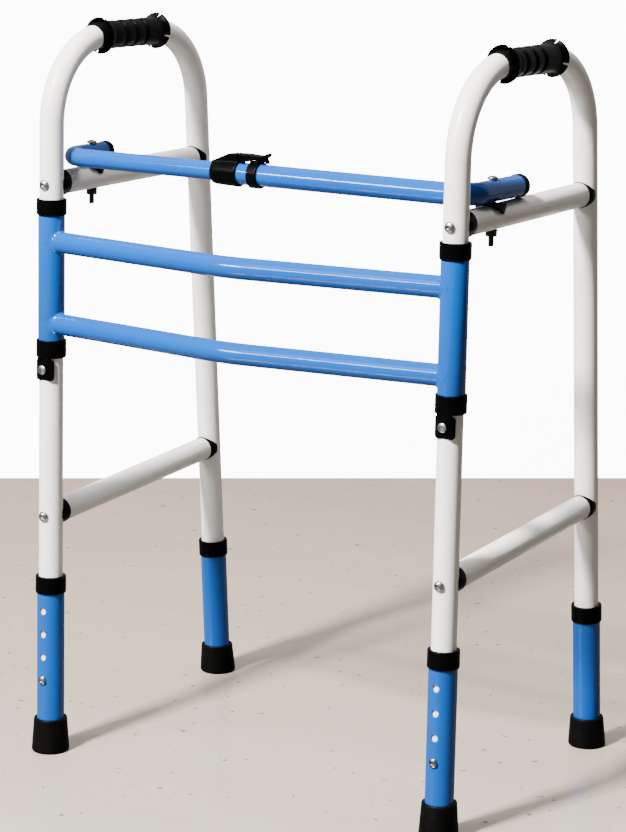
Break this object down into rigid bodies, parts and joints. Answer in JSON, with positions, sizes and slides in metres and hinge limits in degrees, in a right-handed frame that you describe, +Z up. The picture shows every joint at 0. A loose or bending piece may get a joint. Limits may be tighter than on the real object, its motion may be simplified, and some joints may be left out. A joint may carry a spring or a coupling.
{
  "type": "folding walking frame",
  "caption": "Folding walking frame: inverted U side frames with rubber grips, bowed cross bars, a telescoping top bar with a latch, and height-adjustable legs on rubber feet.",
  "frame": {"origin": "centre of the overall footprint, on the floor", "axes": "+Z up, front with the cross bars at -Y, +X to the right of the picture, where the top bar's wide tube is"},
  "size_m": [0.5226, 0.3672, 0.777],
  "materials": {
    "white_powder_coat": "glossy off-white powder coat on steel tube",
    "blue_powder_coat": "glossy sky blue powder coat on steel tube",
    "black_plastic": "satin black moulded plastic",
    "grip_rubber": "satin black rubber",
    "foot_rubber": "matt black rubber",
    "zinc_steel": "bright zinc plated steel"
  },
  "bodies": {
    "front_frame": {"front_frame": "blue_powder_coat", "sleeve_bush_left": "black_plastic", "sleeve_bush_right": "black_plastic"},
    "left_side": {"side_frame_tube_left": "white_powder_coat", "upper_rail_left": "white_powder_coat", "lower_rail_left": "white_powder_coat", "rail_cap_front_upper_left": "black_plastic", "rail_cap_front_lower_left": "black_plastic", "rail_cap_rear_upper_left": "black_plastic", "rail_cap_rear_lower_left": "black_plastic", "rail_screw_front_upper_left": "zinc_steel", "rail_screw_front_lower_left": "zinc_steel", "rail_screw_rear_upper_left": "zinc_steel", "rail_screw_rear_lower_left": "zinc_steel", "grip_left": "grip_rubber", "stop_collar_left": "black_plastic", "stop_collar_screw_left": "zinc_steel", "pivot_saddle_left": "black_plastic", "pivot_bolt_left": "zinc_steel", "pivot_nut_left": "zinc_steel"},
    "right_side": {"side_frame_tube_right": "white_powder_coat", "upper_rail_right": "white_powder_coat", "lower_rail_right": "white_powder_coat", "rail_cap_front_upper_right": "black_plastic", "rail_cap_front_lower_right": "black_plastic", "rail_cap_rear_upper_right": "black_plastic", "rail_cap_rear_lower_right": "black_plastic", "rail_screw_front_upper_right": "zinc_steel", "rail_screw_front_lower_right": "zinc_steel", "rail_screw_rear_upper_right": "zinc_steel", "rail_screw_rear_lower_right": "zinc_steel", "grip_right": "grip_rubber", "stop_collar_right": "black_plastic", "stop_collar_screw_right": "zinc_steel", "pivot_saddle_right": "black_plastic", "pivot_nut_right": "zinc_steel"},
    "bar_rod": {"top_rod": "blue_powder_coat", "top_rod_end_cap": "black_plastic"},
    "bar_tube": {"top_tube": "blue_powder_coat", "top_tube_end_cap": "black_plastic", "latch_sleeve": "black_plastic", "latch_keeper": "black_plastic", "pivot_bolt_right": "zinc_steel"},
    "latch_lever": {"latch_lever": "black_plastic"},
    "front_left_leg": {"front_leg_left_extension": "blue_powder_coat", "front_leg_left_ring": "black_plastic", "front_leg_left_height_screw": "zinc_steel", "front_leg_left_foot": "foot_rubber"},
    "front_right_leg": {"front_leg_right_extension": "blue_powder_coat", "front_leg_right_ring": "black_plastic", "front_leg_right_height_screw": "zinc_steel", "front_leg_right_foot": "foot_rubber"},
    "rear_left_leg": {"rear_leg_left_extension": "blue_powder_coat", "rear_leg_left_ring": "black_plastic", "rear_leg_left_height_screw": "zinc_steel", "rear_leg_left_foot": "foot_rubber"},
    "rear_right_leg": {"rear_leg_right_extension": "blue_powder_coat", "rear_leg_right_ring": "black_plastic", "rear_leg_right_height_screw": "zinc_steel", "rear_leg_right_foot": "foot_rubber"}
  },
  "joints": [
    {"name": "left_fold", "type": "hinge", "parent": "front_frame", "child": "left_side", "pos_m": [-0.241, -0.13727, 0.61258], "axis": [0, -0.037, -0.9993], "range_deg": [0, 90]},
    {"name": "right_fold", "type": "hinge", "parent": "front_frame", "child": "right_side", "pos_m": [0.241, -0.13727, 0.61258], "axis": [0, 0.037, 0.9993], "range_deg": [0, 70.3]},
    {"name": "rod_swing", "type": "hinge", "parent": "left_side", "child": "bar_rod", "pos_m": [-0.241, -0.06633, 0.63669], "axis": [0, 0.037, 0.9993], "range_deg": [0, 94]},
    {"name": "bar_slide", "type": "slide", "parent": "bar_rod", "child": "bar_tube", "axis": [-1, 0, 0], "range_m": [0, 0.1352]},
    {"name": "latch_turn", "type": "hinge", "parent": "bar_tube", "child": "latch_lever", "pos_m": [-0.033, -0.11366, 0.65575], "axis": [0, -0.9993, 0.037], "range_deg": [0, 35]},
    {"name": "front_left_height", "type": "slide", "parent": "left_side", "child": "front_left_leg", "axis": [0, -0.037, -0.9993], "range_m": [0, 0.0762]},
    {"name": "front_right_height", "type": "slide", "parent": "right_side", "child": "front_right_leg", "axis": [0, -0.037, -0.9993], "range_m": [0, 0.0762]},
    {"name": "rear_left_height", "type": "slide", "parent": "left_side", "child": "rear_left_leg", "axis": [0, 0.0509, -0.9987], "range_m": [0, 0.0762]},
    {"name": "rear_right_height", "type": "slide", "parent": "right_side", "child": "rear_right_leg", "axis": [0, 0.0509, -0.9987], "range_m": [0, 0.0762]}
  ],
  "couplings": [
    {"joint": "right_fold", "follows": "left_fold", "ratio": 0.78},
    {"joint": "rod_swing", "follows": "left_fold", "ratio": 1.0435},
    {"joint": "bar_slide", "follows": "left_fold", "m_per_rad": 0.085976}
  ]
}
